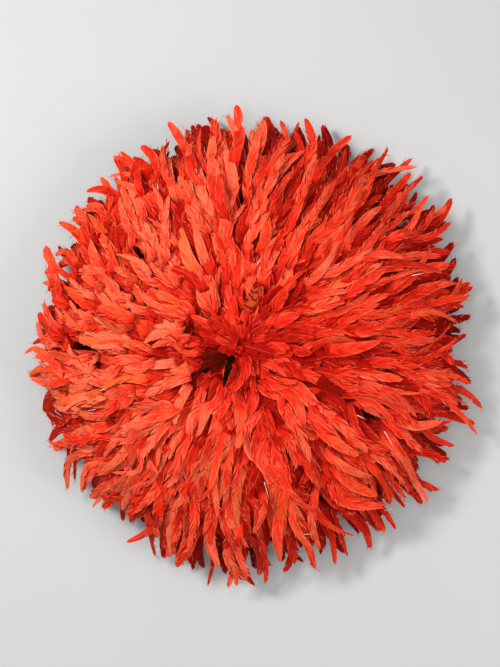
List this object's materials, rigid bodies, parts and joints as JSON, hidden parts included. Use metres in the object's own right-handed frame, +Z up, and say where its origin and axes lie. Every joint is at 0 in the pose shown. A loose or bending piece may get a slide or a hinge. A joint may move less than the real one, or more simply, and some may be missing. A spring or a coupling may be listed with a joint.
{
  "type": "feathered headdress",
  "caption": "Round headdress of dyed cock feathers tied in rows to a woven raffia cap and brim, opened out into a low dome; it is worn on the head, or rests on the roll round its opening.",
  "frame": {"origin": "the middle of the head opening, at the surface that the roll rests on", "axes": "+Z up through the crown, +X towards the right of the picture, where the feathers reach furthest, +Y towards its top"},
  "size_m": [0.6291, 0.6742, 0.1826],
  "materials": {
    "dyed_feather": "soft, faintly glossy barbs, dyed vermilion",
    "raffia": "matt twined raffia",
    "wound_raffia": "matt raffia, wound tight"
  },
  "bodies": {
    "root": {"woven_cap": "raffia", "woven_brim": "raffia", "brow_roll": "wound_raffia", "feather_row_1": "dyed_feather", "feather_row_2": "dyed_feather", "feather_row_3": "dyed_feather", "feather_row_4": "dyed_feather", "feather_row_5": "dyed_feather", "feather_row_6": "dyed_feather", "feather_row_7": "dyed_feather"}
  },
  "joints": []
}
